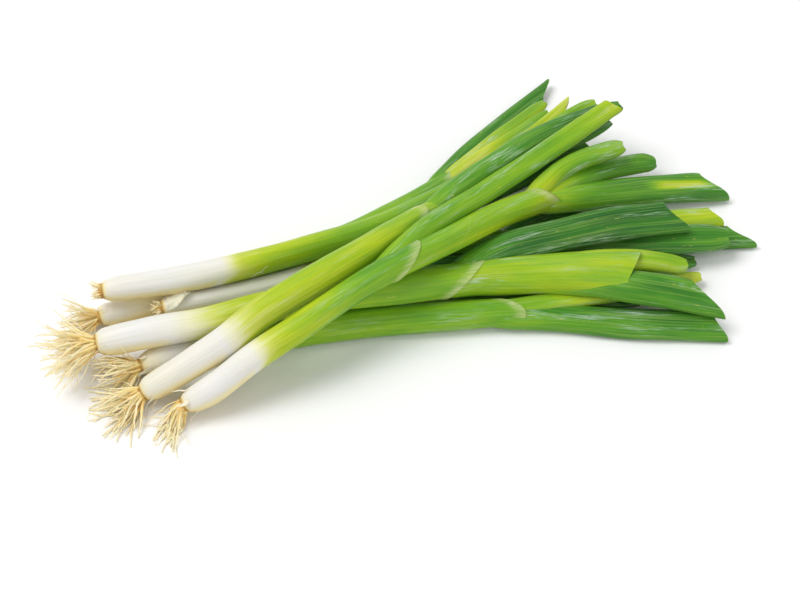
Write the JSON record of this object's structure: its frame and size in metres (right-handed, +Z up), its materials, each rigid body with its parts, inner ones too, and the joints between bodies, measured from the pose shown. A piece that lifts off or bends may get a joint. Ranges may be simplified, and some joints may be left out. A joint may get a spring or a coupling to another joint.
{
  "type": "spring onion bunch",
  "caption": "Bunch of spring onions lying crossed in a loose pile, with white bases, root tufts and hollow green leaves cut short.",
  "frame": {"origin": "on the table under the middle of the lying bunch's box", "axes": "+Z up from the table, +X from the roots towards the cut leaf tips, +Y away from the viewer of the picture"},
  "size_m": [0.3538, 0.1956, 0.0447],
  "materials": {
    "stem": "satin, white at the base turning to yellow green",
    "leaf": "satin green with a waxy bloom and fine lengthwise veins",
    "root": "dry matte straw"
  },
  "bodies": {
    "root": {"stem_a": "stem", "stem_b": "stem", "stem_c": "stem", "stem_d": "stem", "stem_e": "stem", "stem_f": "stem", "stem_g": "stem", "leaf_a1": "leaf", "leaf_a2": "leaf", "leaf_b1": "leaf", "leaf_b2": "leaf", "leaf_b3": "leaf", "leaf_c1": "leaf", "leaf_c2": "leaf", "leaf_c3": "leaf", "leaf_c4": "leaf", "leaf_d1": "leaf", "leaf_d2": "leaf", "leaf_d3": "leaf", "leaf_e1": "leaf", "leaf_e2": "leaf", "leaf_f1": "leaf", "leaf_f2": "leaf", "leaf_f3": "leaf", "leaf_g1": "leaf", "leaf_g2": "leaf", "leaf_g3": "leaf", "leaf_g4": "leaf", "roots_a": "root", "roots_b": "root", "roots_c": "root", "roots_d": "root", "roots_e": "root", "roots_f": "root", "roots_g": "root"}
  },
  "joints": []
}
